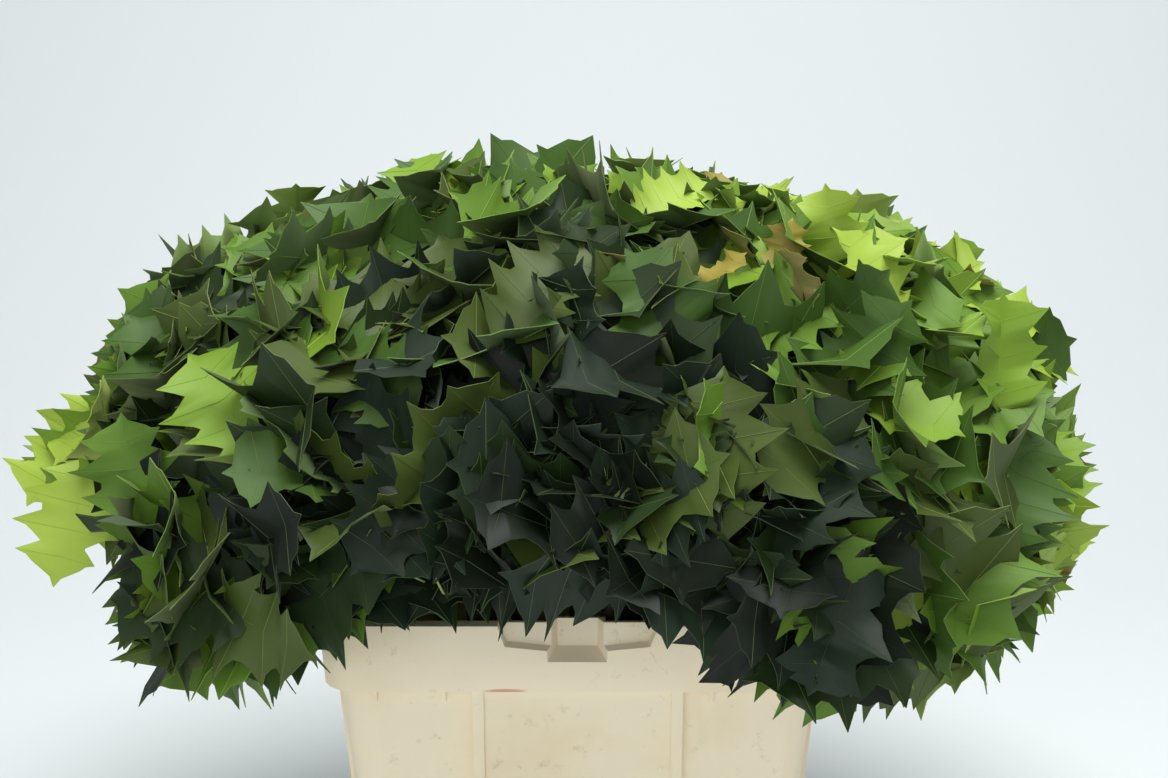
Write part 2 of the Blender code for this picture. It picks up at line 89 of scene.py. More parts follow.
container_node = frame["nodes"]["container"]
container_mesh = container_node.data.copy()
container_mesh.transform(container_node.matrix_world)
shape = bmesh.new()
shape.from_mesh(container_mesh)
bmesh.ops.remove_doubles(shape, verts=shape.verts, dist=MERGE_DISTANCE)
bmesh.ops.dissolve_limit(shape, angle_limit=FLAT_ANGLE, verts=shape.verts, edges=shape.edges)
shape.to_mesh(container_mesh)
shape.free()
container_mesh.materials.clear()
container = bpy.data.objects.new("cream_container", container_mesh)
bpy.context.scene.collection.objects.link(container)
edge = container.modifiers.new("soft edges", "BEVEL")
edge.width = EDGE_WIDTH
edge.segments = EDGE_STEPS
edge.limit_method = "ANGLE"
edge.angle_limit = EDGE_ANGLE
apply_modifiers(container)
container.data.shade_smooth()
container.data.set_sharp_from_angle(angle=SHARP_ANGLE)
RIM = max(corner.co.z for corner in container.data.vertices)
RIM_HALF_X = max(corner.co.x for corner in container.data.vertices)
RIM_HALF_Y = max(corner.co.y for corner in container.data.vertices)
BAND_FOOT = RIM - BAND_HEIGHT


def srgb(red, green, blue):
    """A colour given in steps of 0 to 255, as the linear values that shaders take."""
    shares = [value / 255 for value in (red, green, blue)]
    return (*[s / 12.92 if s <= 0.04045 else ((s + 0.055) / 1.055) ** 2.4 for s in shares], 1.0)


def new_material(name, roughness):
    material = bpy.data.materials.new(name)
    material.use_nodes = True
    shader = material.node_tree.nodes["Principled BSDF"]
    shader.inputs["Roughness"].default_value = roughness
    return material, shader


def add_node(tree, kind, values=None, **settings):
    """A node with its settings, and with its inputs set to values or linked to other sockets."""
    node = tree.nodes.new(kind)
    for key, value in settings.items():
        setattr(node, key, value)
    for key, value in (values or {}).items():
        if isinstance(value, bpy.types.NodeSocket):
            tree.links.new(value, node.inputs[key])
        else:
            node.inputs[key].default_value = value
    return node


def mixed(tree, share, first, second):
    """The socket of two colours mixed by a share, each a value or another node's socket."""
    node = add_node(tree, "ShaderNodeMix", {0: share, 6: first, 7: second}, data_type="RGBA")
    return node.outputs[2]


def container_material():
    material, shader = new_material("cream plastic", PLASTIC_ROUGHNESS)
    tree = material.node_tree
    place = add_node(tree, "ShaderNodeTexCoord").outputs["Object"]
    patches = add_node(
        tree, "ShaderNodeTexNoise", {"Vector": place, "Scale": 9.0, "Detail": 5.0, "Roughness": 0.6}
    )
    dirt = add_node(
        tree, "ShaderNodeMapRange", {"Value": patches.outputs["Fac"], "From Min": 0.5, "From Max": 0.8}
    )
    colour = mixed(tree, dirt.outputs[0], srgb(*CREAM), srgb(*WARM_DIRT))
    grit = add_node(
        tree, "ShaderNodeTexNoise", {"Vector": place, "Scale": 60.0, "Detail": 6.0, "Roughness": 0.75}
    )
    scuff = add_node(
        tree, "ShaderNodeMapRange", {"Value": grit.outputs["Fac"], "From Min": 0.60, "From Max": 0.72}
    )
    spots = add_node(tree, "ShaderNodeMath", {0: scuff.outputs[0], 1: SCUFF_STRENGTH}, operation="MULTIPLY")
    colour = mixed(tree, spots.outputs[0], colour, srgb(*SCUFF_GREY))
    streak_middle = (STREAK_X, -RIM_HALF_Y + STREAK_INSET, BAND_FOOT + STREAK_ABOVE_FOOT)
    offset = add_node(tree, "ShaderNodeVectorMath", {0: place, 1: streak_middle}, operation="SUBTRACT")
    scaled = add_node(
        tree, "ShaderNodeVectorMath", {0: offset.outputs[0], 1: STREAK_STRETCH}, operation="MULTIPLY"
    )
    away = add_node(tree, "ShaderNodeVectorMath", {0: scaled.outputs[0]}, operation="LENGTH")
    streak = add_node(
        tree,
        "ShaderNodeMapRange",
        {
            "Value": away.outputs["Value"],
            "From Min": 0.6,
            "From Max": 1.1,
            "To Min": STREAK_STRENGTH,
            "To Max": 0.0,
        },
    )
    colour = mixed(tree, streak.outputs[0], colour, srgb(*STREAK_RED))
    tree.links.new(colour, shader.inputs["Base Color"])
    shader.inputs["Subsurface Weight"].default_value = 0.08
    shader.inputs["Subsurface Radius"].default_value = (0.02, 0.012, 0.006)
    return material


container.data.materials.append(container_material())
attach(container, "root")
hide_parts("container")

# The boughs: cut branches of red oak, round tapering limbs with young bark, grey brown with pale
# flecks. They stand on the container's floor and fan out of its mouth in rings, as the solids do,
# under a crown a little smaller than theirs, and each carries one cell of its broad dome.
CROWN_HALF = Vector((0.428, 0.352, 0.296))
CROWN_DROP = 0.185
CROWN_MIDDLE = RIM + 0.060
UNDERSIDE_SLOPE = 1.6
MOUTH_INSET = 0.012
MOUTH_HALF = (RIM_HALF_X - MOUTH_INSET, RIM_HALF_Y - MOUTH_INSET)
FLOOR_HALF = (0.150, 0.100)
FLOOR = 0.0043
NEARLY_UPRIGHT = 0.01
UPRIGHT_RISE = 0.16
UPRIGHT_LEAN = 0.25
END_RUN = 0.10
BOUGH_END = 0.46
CELL_CENTRE = 0.74
BOUGH_SIDES = 12
BOUGH_STEPS = 60
BOUGH_RADIUS = 0.0058
BOUGH_TAPER = 0.0024
BARK_RELIEF = 0.07
BARK_ROUGHNESS = 0.8
BARK_BROWN = (92, 84, 62)
BARK_FLECK = (132, 124, 98)
# Each ring's name, count of branches, rise and turn in degrees, and its shares of the floor and mouth.
RINGS = (
    ("crest", 1, 90, 0, 0.0, 0.0),
    ("top", 5, 60, 18, 0.22, 0.27),
    ("shoulder", 9, 32, 12, 0.46, 0.54),
    ("skirt", 13, 2, 6, 0.70, 0.82),
)
bark_rng = random.Random(5)


def crown_point(direction, share):
    """The point at a share of the way from the crown's middle to its surface."""
    rise = CROWN_HALF.z if direction.z > 0 else CROWN_DROP
    flat = Vector((direction.x * CROWN_HALF.x, direction.y * CROWN_HALF.y, direction.z * rise))
    return Vector((0, 0, CROWN_MIDDLE)) + flat * share


def crown_share(point):
    """How far out a point is, where 1 is the crown's surface."""
    rise = CROWN_HALF.z if point.z > CROWN_MIDDLE else CROWN_DROP
    return Vector(
        (point.x / CROWN_HALF.x, point.y / CROWN_HALF.y, (point.z - CROWN_MIDDLE) / rise)
    ).length


def crown_outward(point):
    """The crown's outward direction at a point."""
    rise = CROWN_HALF.z if point.z > CROWN_MIDDLE else CROWN_DROP * UNDERSIDE_SLOPE
    slope = (point.x / CROWN_HALF.x**2, point.y / CROWN_HALF.y**2, (point.z - CROWN_MIDDLE) / rise**2)
    return Vector(slope).normalized()


def around(direction, spread, angle):
    """A direction at some angle from another, turned round it."""
    side = direction.orthogonal().normalized()
    up = direction.cross(side)
    sideways = side * math.cos(angle) + up * math.sin(angle)
    return direction * math.cos(spread) + sideways * math.sin(spread)


class Branch:
    def __init__(self, name, direction, floor_share, mouth_share):
        self.name = name
        self.direction = direction
        flat = Vector((direction.x, direction.y))
        if flat.length > NEARLY_UPRIGHT:
            flat.normalize()
        self.foot = Vector(
            (flat.x * FLOOR_HALF[0] * floor_share, flat.y * FLOOR_HALF[1] * floor_share, FLOOR)
        )
        mouth = Vector((flat.x * MOUTH_HALF[0] * mouth_share, flat.y * MOUTH_HALF[1] * mouth_share, RIM))
        self.end = crown_point(direction, BOUGH_END)
        self.centre = crown_point(direction, CELL_CENTRE)
        self.heading = (self.centre - self.end).normalized()
        upright = Vector((0, 0, UPRIGHT_RISE)) + (mouth - self.foot) * UPRIGHT_LEAN
        self.control = (self.foot, self.foot + upright, self.end - self.heading * END_RUN, self.end)

    def at(self, share):
        """The point at a share of the bough's length, on its smooth curve."""
        rest = 1 - share
        weights = (rest**3, 3 * rest**2 * share, 3 * rest * share**2, share**3)
        return sum((p * w for p, w in zip(self.control, weights)), Vector())


def add_tube(corners, faces, points, radii, sides, relief=0.0):
    """A closed round tube through points, its surface roughened by a share of its radius."""
    first = len(corners)
    side = None
    for i, point in enumerate(points):
        course = (points[min(i + 1, len(points) - 1)] - points[max(i - 1, 0)]).normalized()
        if side is None:
            side = course.orthogonal().normalized()
        side = (side - course * side.dot(course)).normalized()
        up = course.cross(side)
        for k in range(sides):
            angle = k * 2 * math.pi / sides
            radius = radii[i] * (1 + relief * bark_rng.uniform(-1, 1))
            corners.append(point + (side * math.cos(angle) + up * math.sin(angle)) * radius)
    for i in range(len(points) - 1):
        row = first + i * sides
        for k in range(sides):
            faces.append((row + k, row + (k + 1) % sides, row + sides + (k + 1) % sides, row + sides + k))
    faces.append(tuple(first + k for k in reversed(range(sides))))
    last = first + (len(points) - 1) * sides
    faces.append(tuple(last + k for k in range(sides)))


def mesh_object(name, corners, faces):
    """A new object of corners and faces, smooth, with all its faces pointing outwards."""
    mesh = bpy.data.meshes.new(name)
    mesh.from_pydata(corners, [], faces)
    shape = bmesh.new()
    shape.from_mesh(mesh)
    bmesh.ops.recalc_face_normals(shape, faces=shape.faces)
    shape.to_mesh(mesh)
    shape.free()
    mesh.shade_smooth()
    thing = bpy.data.objects.new(name, mesh)
    bpy.context.scene.collection.objects.link(thing)
    return thing


branches = []
for ring, count, rise, turn, floor_share, mouth_share in RINGS:
    for i in range(count):
        bearing = math.radians(turn) + i * 2 * math.pi / count
        level = math.cos(math.radians(rise))
        outward = (math.cos(bearing) * level, math.sin(bearing) * level, math.sin(math.radians(rise)))
        branches.append(Branch(f"{ring}_{i + 1:02d}", Vector(outward), floor_share, mouth_share))

bough_corners = []
bough_faces = []
for branch in branches:
    shares = [i / BOUGH_STEPS for i in range(BOUGH_STEPS + 1)]
    points = [branch.at(share) for share in shares]
    radii = [BOUGH_RADIUS - BOUGH_TAPER * share for share in shares]
    add_tube(bough_corners, bough_faces, points, radii, BOUGH_SIDES, BARK_RELIEF)
boughs = mesh_object("boughs", bough_corners, bough_faces)


def bark_material():
    material, shader = new_material("young oak bark", BARK_ROUGHNESS)
    tree = material.node_tree
    place = add_node(tree, "ShaderNodeTexCoord").outputs["Object"]
    flecks = add_node(tree, "ShaderNodeTexNoise", {"Vector": place, "Scale": 160.0, "Detail": 4.0})
    colour = mixed(tree, flecks.outputs["Fac"], srgb(*BARK_BROWN), srgb(*BARK_FLECK))
    tree.links.new(colour, shader.inputs["Base Color"])
    return material


bark = bark_material()
boughs.data.materials.append(bark)
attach(boughs, "root")
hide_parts(*[f"bough_{branch.name}" for branch in branches])

# The twigs: in each mass a stem that carries the bough on and thin side twigs that leave it by the
# golden angle. They have the boughs' bark, and stay inside the crown and above its lower edge.
TWIGS_A_MASS = 9
STEM_REACH = 0.78
STEM_RADII = (0.0034, 0.0016)
STEM_SIDES = 6
FIRST_TWIG = 0.10
TWIG_STRETCH = 0.78
TWIG_SPREAD = (32, 60)
TWIG_LENGTH = (0.07, 0.12)
TWIG_BEND = Vector((0, 0, 0.004))
TWIG_RADII = (0.0020, 0.0016, 0.0010)
TWIG_SIDES = 5
TWIG_OUTERMOST = 0.84
GOLDEN_ANGLE = math.radians(137.5)
CONTAINER_ROOM = 0.006
# The crown's lower edge: high in the middle, where the rim shows, and lifted at the far left and right.
GAP_MIDDLE = -0.035
GAP_HALF = 0.09
GAP_FADE = 0.14
HEM_IN_GAP = RIM + 0.088
HEM_FALL = 0.125
LEFT_LIFT = 0.085
LEFT_LIFT_FROM = 0.28
RIGHT_LIFT = 0.050
RIGHT_LIFT_FROM = 0.34
LIFT_FADE = 0.08
rng = random.Random(23)


def eased(share):
    share = min(1.0, max(0.0, share))
    return share * share * (3 - 2 * share)


def above_hem(point):
    """Whether a point is above the crown's lower edge, which lets the rim show in front and behind."""
    reach = (abs(point.x - GAP_MIDDLE) - GAP_HALF) / GAP_FADE
    if abs(point.y) < RIM_HALF_Y:
        reach = 1.0
    lowest = HEM_IN_GAP - HEM_FALL * eased(reach)
    left = LEFT_LIFT * eased((-point.x - LEFT_LIFT_FROM) / LIFT_FADE)
    right = RIGHT_LIFT * eased((point.x - RIGHT_LIFT_FROM) / LIFT_FADE)
    lowest += left + right
    return point.z > lowest


def beside_container(point):
    """Whether a point is clear of the box that holds the container's walls."""
    return (
        point.z > RIM + CONTAINER_ROOM
        or abs(point.x) > RIM_HALF_X + CONTAINER_ROOM
        or abs(point.y) > RIM_HALF_Y + CONTAINER_ROOM
    )


def grow_twigs(branch, corners, faces):
    """Stem and side twigs of one mass, as (foot, tip)."""
    tip = crown_point(branch.direction, STEM_REACH)
    twigs = [(branch.end, tip)]
    add_tube(corners, faces, twigs[0], STEM_RADII, STEM_SIDES)
    angle = rng.uniform(0, 2 * math.pi)
    for i in range(TWIGS_A_MASS):
        foot = branch.end.lerp(tip, FIRST_TWIG + TWIG_STRETCH * i / TWIGS_A_MASS)
        angle += GOLDEN_ANGLE
        course = around(branch.heading, math.radians(rng.uniform(*TWIG_SPREAD)), angle)
        end = foot + course * rng.uniform(*TWIG_LENGTH)
        middle = foot.lerp(end, 0.5)
        hidden = above_hem(end) and crown_share(end) < TWIG_OUTERMOST
        if hidden and beside_container(end) and beside_container(middle):
            twigs.append((foot, end))
            add_tube(corners, faces, (foot, middle + TWIG_BEND, end), TWIG_RADII, TWIG_SIDES)
    return twigs


# The leaves' places: each leaf grows outwards and sideways near the crown's surface, in its own
# mass's cell, and a thin green stalk joins its foot to the nearest twig. Bright leaves are at the
# top, the right and the far left, and dark ones low in the front. Their colours are partly the
# leaves' own greens and partly painted light: lighter at the top as painted light from above and
# painted sheen, darker low down and in the front and middle as painted shade.
LEAVES_A_MASS = 74
LEAF_TRIES = 140
LEAF_LENGTH = (0.105, 0.165)
LEAF_KINDS = 14
MASS_SPREAD = 46
MASS_REACH = (0.93, 1.03)
CELL_OVERLAP = 0.030
OUTERMOST = 1.05
FURTHEST = Vector((0.440, 0.385, 0.735))
TIP_REACH = 1.03
TIP_DEPTH = 0.34
TIP_CROWDING = 1.3
LEAST_OUTWARD = 0.30
STEEP_OUTWARD = 1.2
UPWARD_LIFT = 0.30
DOWNWARD_HANG = -0.6
HANG_BELOW = RIM + 0.03
FACES_TOWARDS = Vector((0, -0.25, 0.1))
ROLL_SCATTER = 34
LONGEST_STALK = 0.075
STALKS_FROM = 0.1
STALK_RADII = (0.0009, 0.0009, 0.0009)
STALK_SIDES = 4
STALK_SAG = Vector((0, 0, 0.003))
STALK_OVERLAP = 0.004
STALK_ROUGHNESS = 0.5
STALK_GREEN = (150, 166, 84)
YOUNG_SIZES = {"young": 0.42, "yellow": 0.72, "bright": 0.86}
COLOURS = {
    # The deepest green is painted shade: near-black leaves set where the front of the crown lies in shade.
    "deep": (17, 27, 14),
    # The bluish green is partly the dark leaves' own colour and partly their grey-blue sheen, painted in.
    "bluish": (27, 42, 26),
    "dark": (36, 55, 22),
    "olive": (72, 88, 36),
    "mid": (66, 95, 34),
    "fresh": (92, 125, 38),
    "bright": (118, 150, 44),
    "yellow": (152, 178, 64),
}
YOUNG_COLOUR = (142, 130, 50)
LADDER = tuple(COLOURS)
# Steps on the ladder of colours, and the places where they count, as shares of the crown's half sizes.
MIDDLE_STEP = 2.7
# Lighter up the crown and darker below its middle: partly the leaves' own tints, partly painted light from
# above and painted shade low down.
UP_TINT_AND_PAINTED_LIGHT_STEPS = 2.4
RIGHT_STEPS = 2.4
LEFT_STEPS = 0.3
# Painted shade: leaves in the front and middle are stepped darker, less so higher up.
FRONT_PAINTED_SHADE_STEPS = 4.2
FRONT_PAINTED_SHADE_FADE_UP = 0.20
LOW_SIDES_FROM = 0.45
LOW_SIDES_STEPS = 2.2
FAR_LEFT_FROM = -0.85
FAR_LEFT_STEPS = 3.0
STEP_SCATTER = 1.15
YOUNG_TOP_FROM = 0.62
YOUNG_TOP_CHANCE = 0.03
YOUNG_RIGHT_FROM = 0.86
YOUNG_RIGHT_CHANCE = 0.06


def in_cell(point, branch, overlap):
    """Whether a point is in a branch's own cell of the dome, or past its edge by less than the overlap."""
    for other in branches:
        if other is not branch:
            way = (other.centre - branch.centre).normalized()
            if (point - (other.centre + branch.centre) / 2).dot(way) > overlap:
                return False
    return True


def nearest_on(twigs, point):
    """The point of the twigs nearest to a point, where stalks leave only past each twig's foot."""
    best = None
    for foot, tip in twigs:
        along = tip - foot
        share = max(STALKS_FROM, min(1.0, (point - foot).dot(along) / along.length_squared))
        near = foot + along * share
        if best is None or (near - point).length < (best - point).length:
            best = near
    return best


def leaf_place(branch, twigs, mass_reach):
    """A free place in a mass: tip, course, outward direction, length and place on a twig, or None."""
    for _ in range(LEAF_TRIES):
        spread = math.radians(MASS_SPREAD) * math.sqrt(rng.random())
        direction = around(branch.direction, spread, rng.uniform(0, 2 * math.pi))
        tip = crown_point(direction, mass_reach * (TIP_REACH - TIP_DEPTH * rng.random() ** TIP_CROWDING))
        outward = crown_outward(tip)
        length = rng.uniform(*LEAF_LENGTH)
        steep = max(0.0, outward.z)
        sideways = around(outward, math.pi / 2, rng.uniform(0, 2 * math.pi))
        course = outward * rng.uniform(LEAST_OUTWARD, 1.0 + STEEP_OUTWARD * steep) + sideways
        lift = UPWARD_LIFT if tip.z > HANG_BELOW else DOWNWARD_HANG
        course = (course + Vector((0, 0, lift))).normalized()
        foot = tip - course * length
        middle = foot.lerp(tip, 0.5)
        if max(crown_share(foot), crown_share(middle), crown_share(tip)) > OUTERMOST:
            continue
        if not (above_hem(tip) and above_hem(middle) and above_hem(foot)):
            continue
        if abs(tip.x) > FURTHEST.x or abs(tip.y) > FURTHEST.y or tip.z > FURTHEST.z:
            continue
        near = nearest_on(twigs, foot)
        if not in_cell(middle, branch, CELL_OVERLAP) or (near - foot).length > LONGEST_STALK:
            continue
        if beside_container(foot) and beside_container(tip) and beside_container(middle):
            return tip, course, outward, length, near
    return None


def leaf_colour(point):
    """A colour's name for a leaf at a point, by its place in the crown with some scatter: partly its own
    green, partly painted light, lighter at the top, and painted shade, darker low down and in the front.
    """
    height = (point.z - CROWN_MIDDLE) / CROWN_HALF.z
    right = point.x / CROWN_HALF.x
    front = max(0.0, -point.y / CROWN_HALF.y)
    # Partly painted light and shade: leaves step lighter up the crown and darker below its middle.
    step = MIDDLE_STEP + UP_TINT_AND_PAINTED_LIGHT_STEPS * height + RIGHT_STEPS * max(0.0, right) + LEFT_STEPS * max(0.0, -right)
    # Painted shade: darker towards the front and middle, fading upwards.
    step -= FRONT_PAINTED_SHADE_STEPS * front * (1 - abs(right)) * (1 - FRONT_PAINTED_SHADE_FADE_UP * height)
    if height < 0 and abs(right) > LOW_SIDES_FROM:
        step += LOW_SIDES_STEPS
    if right < FAR_LEFT_FROM:
        step += FAR_LEFT_STEPS
    step += rng.gauss(0, STEP_SCATTER)
    if height > YOUNG_TOP_FROM and rng.random() < YOUNG_TOP_CHANCE:
        return "young"
    if right > YOUNG_RIGHT_FROM and rng.random() < YOUNG_RIGHT_CHANCE:
        return "young"
    return LADDER[max(0, min(len(LADDER) - 1, round(step)))]


stem_corners = []
stem_faces = []
stalk_corners = []
stalk_faces = []
leaf_points = {name: [] for name in (*COLOURS, "young")}
for branch in branches:
    twigs = grow_twigs(branch, stem_corners, stem_faces)
    mass_reach = rng.uniform(*MASS_REACH)
    for _ in range(LEAVES_A_MASS):
        found = leaf_place(branch, twigs, mass_reach)
        if found is None:
            continue
        tip, course, outward, length, near = found
        across = course.cross(outward + FACES_TOWARDS).normalized()
        turn = Matrix((course, -across, across.cross(course))).transposed()
        turn = Matrix.Rotation(math.radians(rng.gauss(0, ROLL_SCATTER)), 3, course) @ turn
        kind = rng.randrange(LEAF_KINDS)
        colour = leaf_colour(tip)
        length *= YOUNG_SIZES.get(colour, 1.0)
        foot = tip - course * length
        leaf_points[colour].append((foot, turn.to_euler(), length, kind))
        course_of_stalk = (near, near.lerp(foot, 0.5) - STALK_SAG, foot + course * STALK_OVERLAP)
        add_tube(stalk_corners, stalk_faces, course_of_stalk, STALK_RADII, STALK_SIDES)

twigs_piece = mesh_object("twigs", stem_corners, stem_faces)
twigs_piece.data.materials.append(bark)
stalks_piece = mesh_object("leaf_stalks", stalk_corners, stalk_faces)
stalk_material, stalk_shader = new_material("green stalk", STALK_ROUGHNESS)
stalk_shader.inputs["Base Color"].default_value = srgb(*STALK_GREEN)
stalks_piece.data.materials.append(stalk_material)
foliage_nodes = [f"foliage_{branch.name}" for branch in branches]
for piece in (twigs_piece, stalks_piece):
    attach(piece, "root")
    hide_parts(*foliage_nodes)

# The leaf's shapes: a thin closed blade of length 1 along +X with three or four pointed lobes a side,
# folded along the midrib, waved and drooping, with raised veins that run to the lobes' tips.
BLADE_THICKNESS = 0.0045
VEIN_WIDTH = 0.008
VEIN_HEIGHT = 0.004
VEIN_REACH = 0.94
FIRST_LOBE = 0.27
LOBES_STRETCH = 0.56
LOBE_DEPTH = (0.66, 0.86)
FOLD = (0.10, 0.55)
DROOP = (-0.05, 0.28)
WAVE = (0.10, 0.30)
WAVE_TURNS = 11
WAVE_SHIFT = 1.7
BLADE_SHARP_ANGLE = math.radians(65)
FIRST_SHAPE_SEED = 100
# Each face's marks, as (how much it is underside, how much it is vein).
TOP_SIDE = (0.0, 0.0)
UNDERSIDE = (1.0, 0.0)
MARGIN = (0.0, 0.5)
VEIN = (0.0, 1.0)


def blade_outline(shapes_rng, lobes, depth):
    """Stations of one side of a blade: (place on the midrib, place of the edge, width, is a tip)."""
    stations = [(0.0, 0.0, 0.012, False), (0.09, 0.10, 0.05, False)]
    step = LOBES_STRETCH / (lobes - 1)
    for lobe in range(lobes):
        middle = FIRST_LOBE + LOBES_STRETCH * lobe / (lobes - 1)
        width = 0.09 + 0.22 * math.sin(math.pi * middle**1.25) ** 0.8
        width *= shapes_rng.uniform(0.92, 1.08)
        stations.append((middle - step * 0.52, middle - step * 0.44, width * depth, False))
        stations.append((middle - step * 0.34, middle - step * 0.18, width * 0.90, False))
        stations.append((middle - step * 0.16, middle + step * 0.20, width * 1.22, True))
        stations.append((middle + step * 0.10, middle + step * 0.22, width * 0.92, False))
        stations.append((middle + step * 0.28, middle + step * 0.36, width * 0.74, False))
    stations.append((0.94, 0.945, 0.040, False))
    stations.append((1.0, 1.0, 0.002, False))
    return stations


def leaf_shape(number):
    shapes_rng = random.Random(FIRST_SHAPE_SEED + number)
    lobes = 3 if number % 3 == 0 else 4
    depth = shapes_rng.uniform(*LOBE_DEPTH)
    fold = shapes_rng.uniform(*FOLD)
    droop = shapes_rng.uniform(*DROOP)
    wave = shapes_rng.uniform(*WAVE)
    phase = shapes_rng.uniform(0, 2 * math.pi)
    left = blade_outline(shapes_rng, lobes, depth)
    right = blade_outline(shapes_rng, lobes, depth * shapes_rng.uniform(0.9, 1.1))

    def lifted(x, y):
        ripple = wave * abs(y) * math.sin(WAVE_TURNS * x + phase + (WAVE_SHIFT if y > 0 else 0))
        return Vector((x, y, fold * abs(y) - droop * x * x + ripple))

    corners = []
    for level in (BLADE_THICKNESS / 2, -BLADE_THICKNESS / 2):
        for (place, left_x, left_y, _), (_, right_x, right_y, _) in zip(left, right):
            for point in (lifted(left_x, left_y), lifted(place, 0.0), lifted(right_x, -right_y)):
                corners.append(point + Vector((0, 0, level)))
    count = len(left)
    under = count * 3
    faces = []
    marks = []
    for i in range(count - 1):
        for k in (0, 1):
            a = i * 3 + k
            b = under + a
            faces += [(a, a + 1, a + 4), (a, a + 4, a + 3), (b, b + 4, b + 1), (b, b + 3, b + 4)]
            marks += [TOP_SIDE, TOP_SIDE, UNDERSIDE, UNDERSIDE]
        for a in (i * 3, i * 3 + 2):
            faces.append((a, a + 3, under + a + 3, under + a))
            marks.append(MARGIN)
    for a in (0, 1, (count - 1) * 3, (count - 1) * 3 + 1):
        faces.append((a, a + 1, under + a + 1, under + a))
        marks.append(MARGIN)
    veins = [(lifted(0.0, 0.0), lifted(0.5, 0.0), 1.3), (lifted(0.5, 0.0), lifted(0.95, 0.0), 0.9)]
    for side, sign in ((left, 1), (right, -1)):
        veins += [
            (lifted(place, 0.0), lifted(place, 0.0).lerp(lifted(x, sign * y), VEIN_REACH), 0.6)
            for place, x, y, is_tip in side
            if is_tip
        ]
    for start, end, share in veins:
        first = len(corners)
        across = (end - start).cross(Vector((0, 0, 1))).normalized() * VEIN_WIDTH * share / 2
        for point, taper in ((start, 1.0), (end, 0.4)):
            crest = point + Vector((0, 0, BLADE_THICKNESS / 2 + VEIN_HEIGHT * share))
            corners += [point + across * taper, point - across * taper, crest]
        for a, b in ((0, 1), (1, 2), (2, 0)):
            faces.append((first + a, first + b, first + b + 3, first + a + 3))
            marks.append(VEIN)
        faces += [(first, first + 1, first + 2), (first + 3, first + 4, first + 5)]
        marks += [VEIN, VEIN]
    leaf = mesh_object(f"leaf_{number:02d}", corners, faces)
    for name, index in (("under", 0), ("vein", 1)):
        attribute = leaf.data.attributes.new(name, "FLOAT", "FACE")
        attribute.data.foreach_set("value", [mark[index] for mark in marks])
    leaf.data.set_sharp_from_angle(angle=BLADE_SHARP_ANGLE)
    return leaf


kinds = bpy.data.collections.new("leaf kinds")
bpy.context.scene.collection.children.link(kinds)
for number in range(LEAF_KINDS):
    leaf = leaf_shape(number)
    bpy.context.scene.collection.objects.unlink(leaf)
    kinds.objects.link(leaf)

# The leaves: thin satin blades, one piece for each colour. Points carry each leaf's turn, size and
# kind, and Geometry Nodes set a blade on each. The undersides, veins and margins are paler.
LEAF_ROUGHNESS = 0.52
LEAF_SHINE = 0.28
PALE_TARGET = 214
PALE_SHARE = 0.26
LINE_TARGET = (190, 206, 120)
LINE_SHARE = 0.36


def leaf_tree():
    """Sets a blade of its own kind, turn and size on each point, all in one material."""
    tree = bpy.data.node_groups.new("leaves on points", "GeometryNodeTree")
    face = tree.interface
    face.new_socket("Points", in_out="INPUT", socket_type="NodeSocketGeometry")
    face.new_socket("Kinds", in_out="INPUT", socket_type="NodeSocketCollection")
    face.new_socket("Length", in_out="INPUT", socket_type="NodeSocketFloat").default_value = 1.0
    face.new_socket("Surface", in_out="INPUT", socket_type="NodeSocketMaterial")
    face.new_socket("Leaves", in_out="OUTPUT", socket_type="NodeSocketGeometry")
    entry = add_node(tree, "NodeGroupInput")
    exit_node = add_node(tree, "NodeGroupOutput")
    blades = add_node(
        tree,
        "GeometryNodeCollectionInfo",
        {
            "Collection": entry.outputs["Kinds"],
            "Separate Children": True,
            "Reset Children": True,
        },
    )
    fields = {
        name: add_node(tree, "GeometryNodeInputNamedAttribute", {"Name": name}, data_type=data_type)
        for name, data_type in (("turn", "FLOAT_VECTOR"), ("size", "FLOAT"), ("kind", "INT"))
    }
    scale = add_node(
        tree,
        "ShaderNodeMath",
        {0: fields["size"].outputs[0], 1: entry.outputs["Length"]},
        operation="MULTIPLY",
    )
    placed = add_node(
        tree,
        "GeometryNodeInstanceOnPoints",
        {
            "Points": entry.outputs["Points"],
            "Instance": blades.outputs[0],
            "Pick Instance": True,
            "Instance Index": fields["kind"].outputs[0],
            "Rotation": fields["turn"].outputs[0],
            "Scale": scale.outputs[0],
        },
    )
    real = add_node(tree, "GeometryNodeRealizeInstances", {"Geometry": placed.outputs[0]})
    coloured = add_node(
        tree,
        "GeometryNodeSetMaterial",
        {"Geometry": real.outputs[0], "Material": entry.outputs["Surface"]},
    )
    tree.links.new(coloured.outputs[0], exit_node.inputs[0])
    return tree


def leaf_shading():
    """The colour of a blade's top side, its underside or its veins, by how much a face is of each."""
    tree = bpy.data.node_groups.new("underside and veins", "ShaderNodeTree")
    face = tree.interface
    for name in ("Underside Share", "Vein Share"):
        face.new_socket(name, in_out="INPUT", socket_type="NodeSocketFloat")
    for name in ("Top Side", "Underside", "Vein"):
        face.new_socket(name, in_out="INPUT", socket_type="NodeSocketColor")
    face.new_socket("Colour", in_out="OUTPUT", socket_type="NodeSocketColor")
    entry = add_node(tree, "NodeGroupInput").outputs
    blade = mixed(tree, entry["Underside Share"], entry["Top Side"], entry["Underside"])
    colour = mixed(tree, entry["Vein Share"], blade, entry["Vein"])
    add_node(tree, "NodeGroupOutput", {"Colour": colour})
    return tree


shading = leaf_shading()


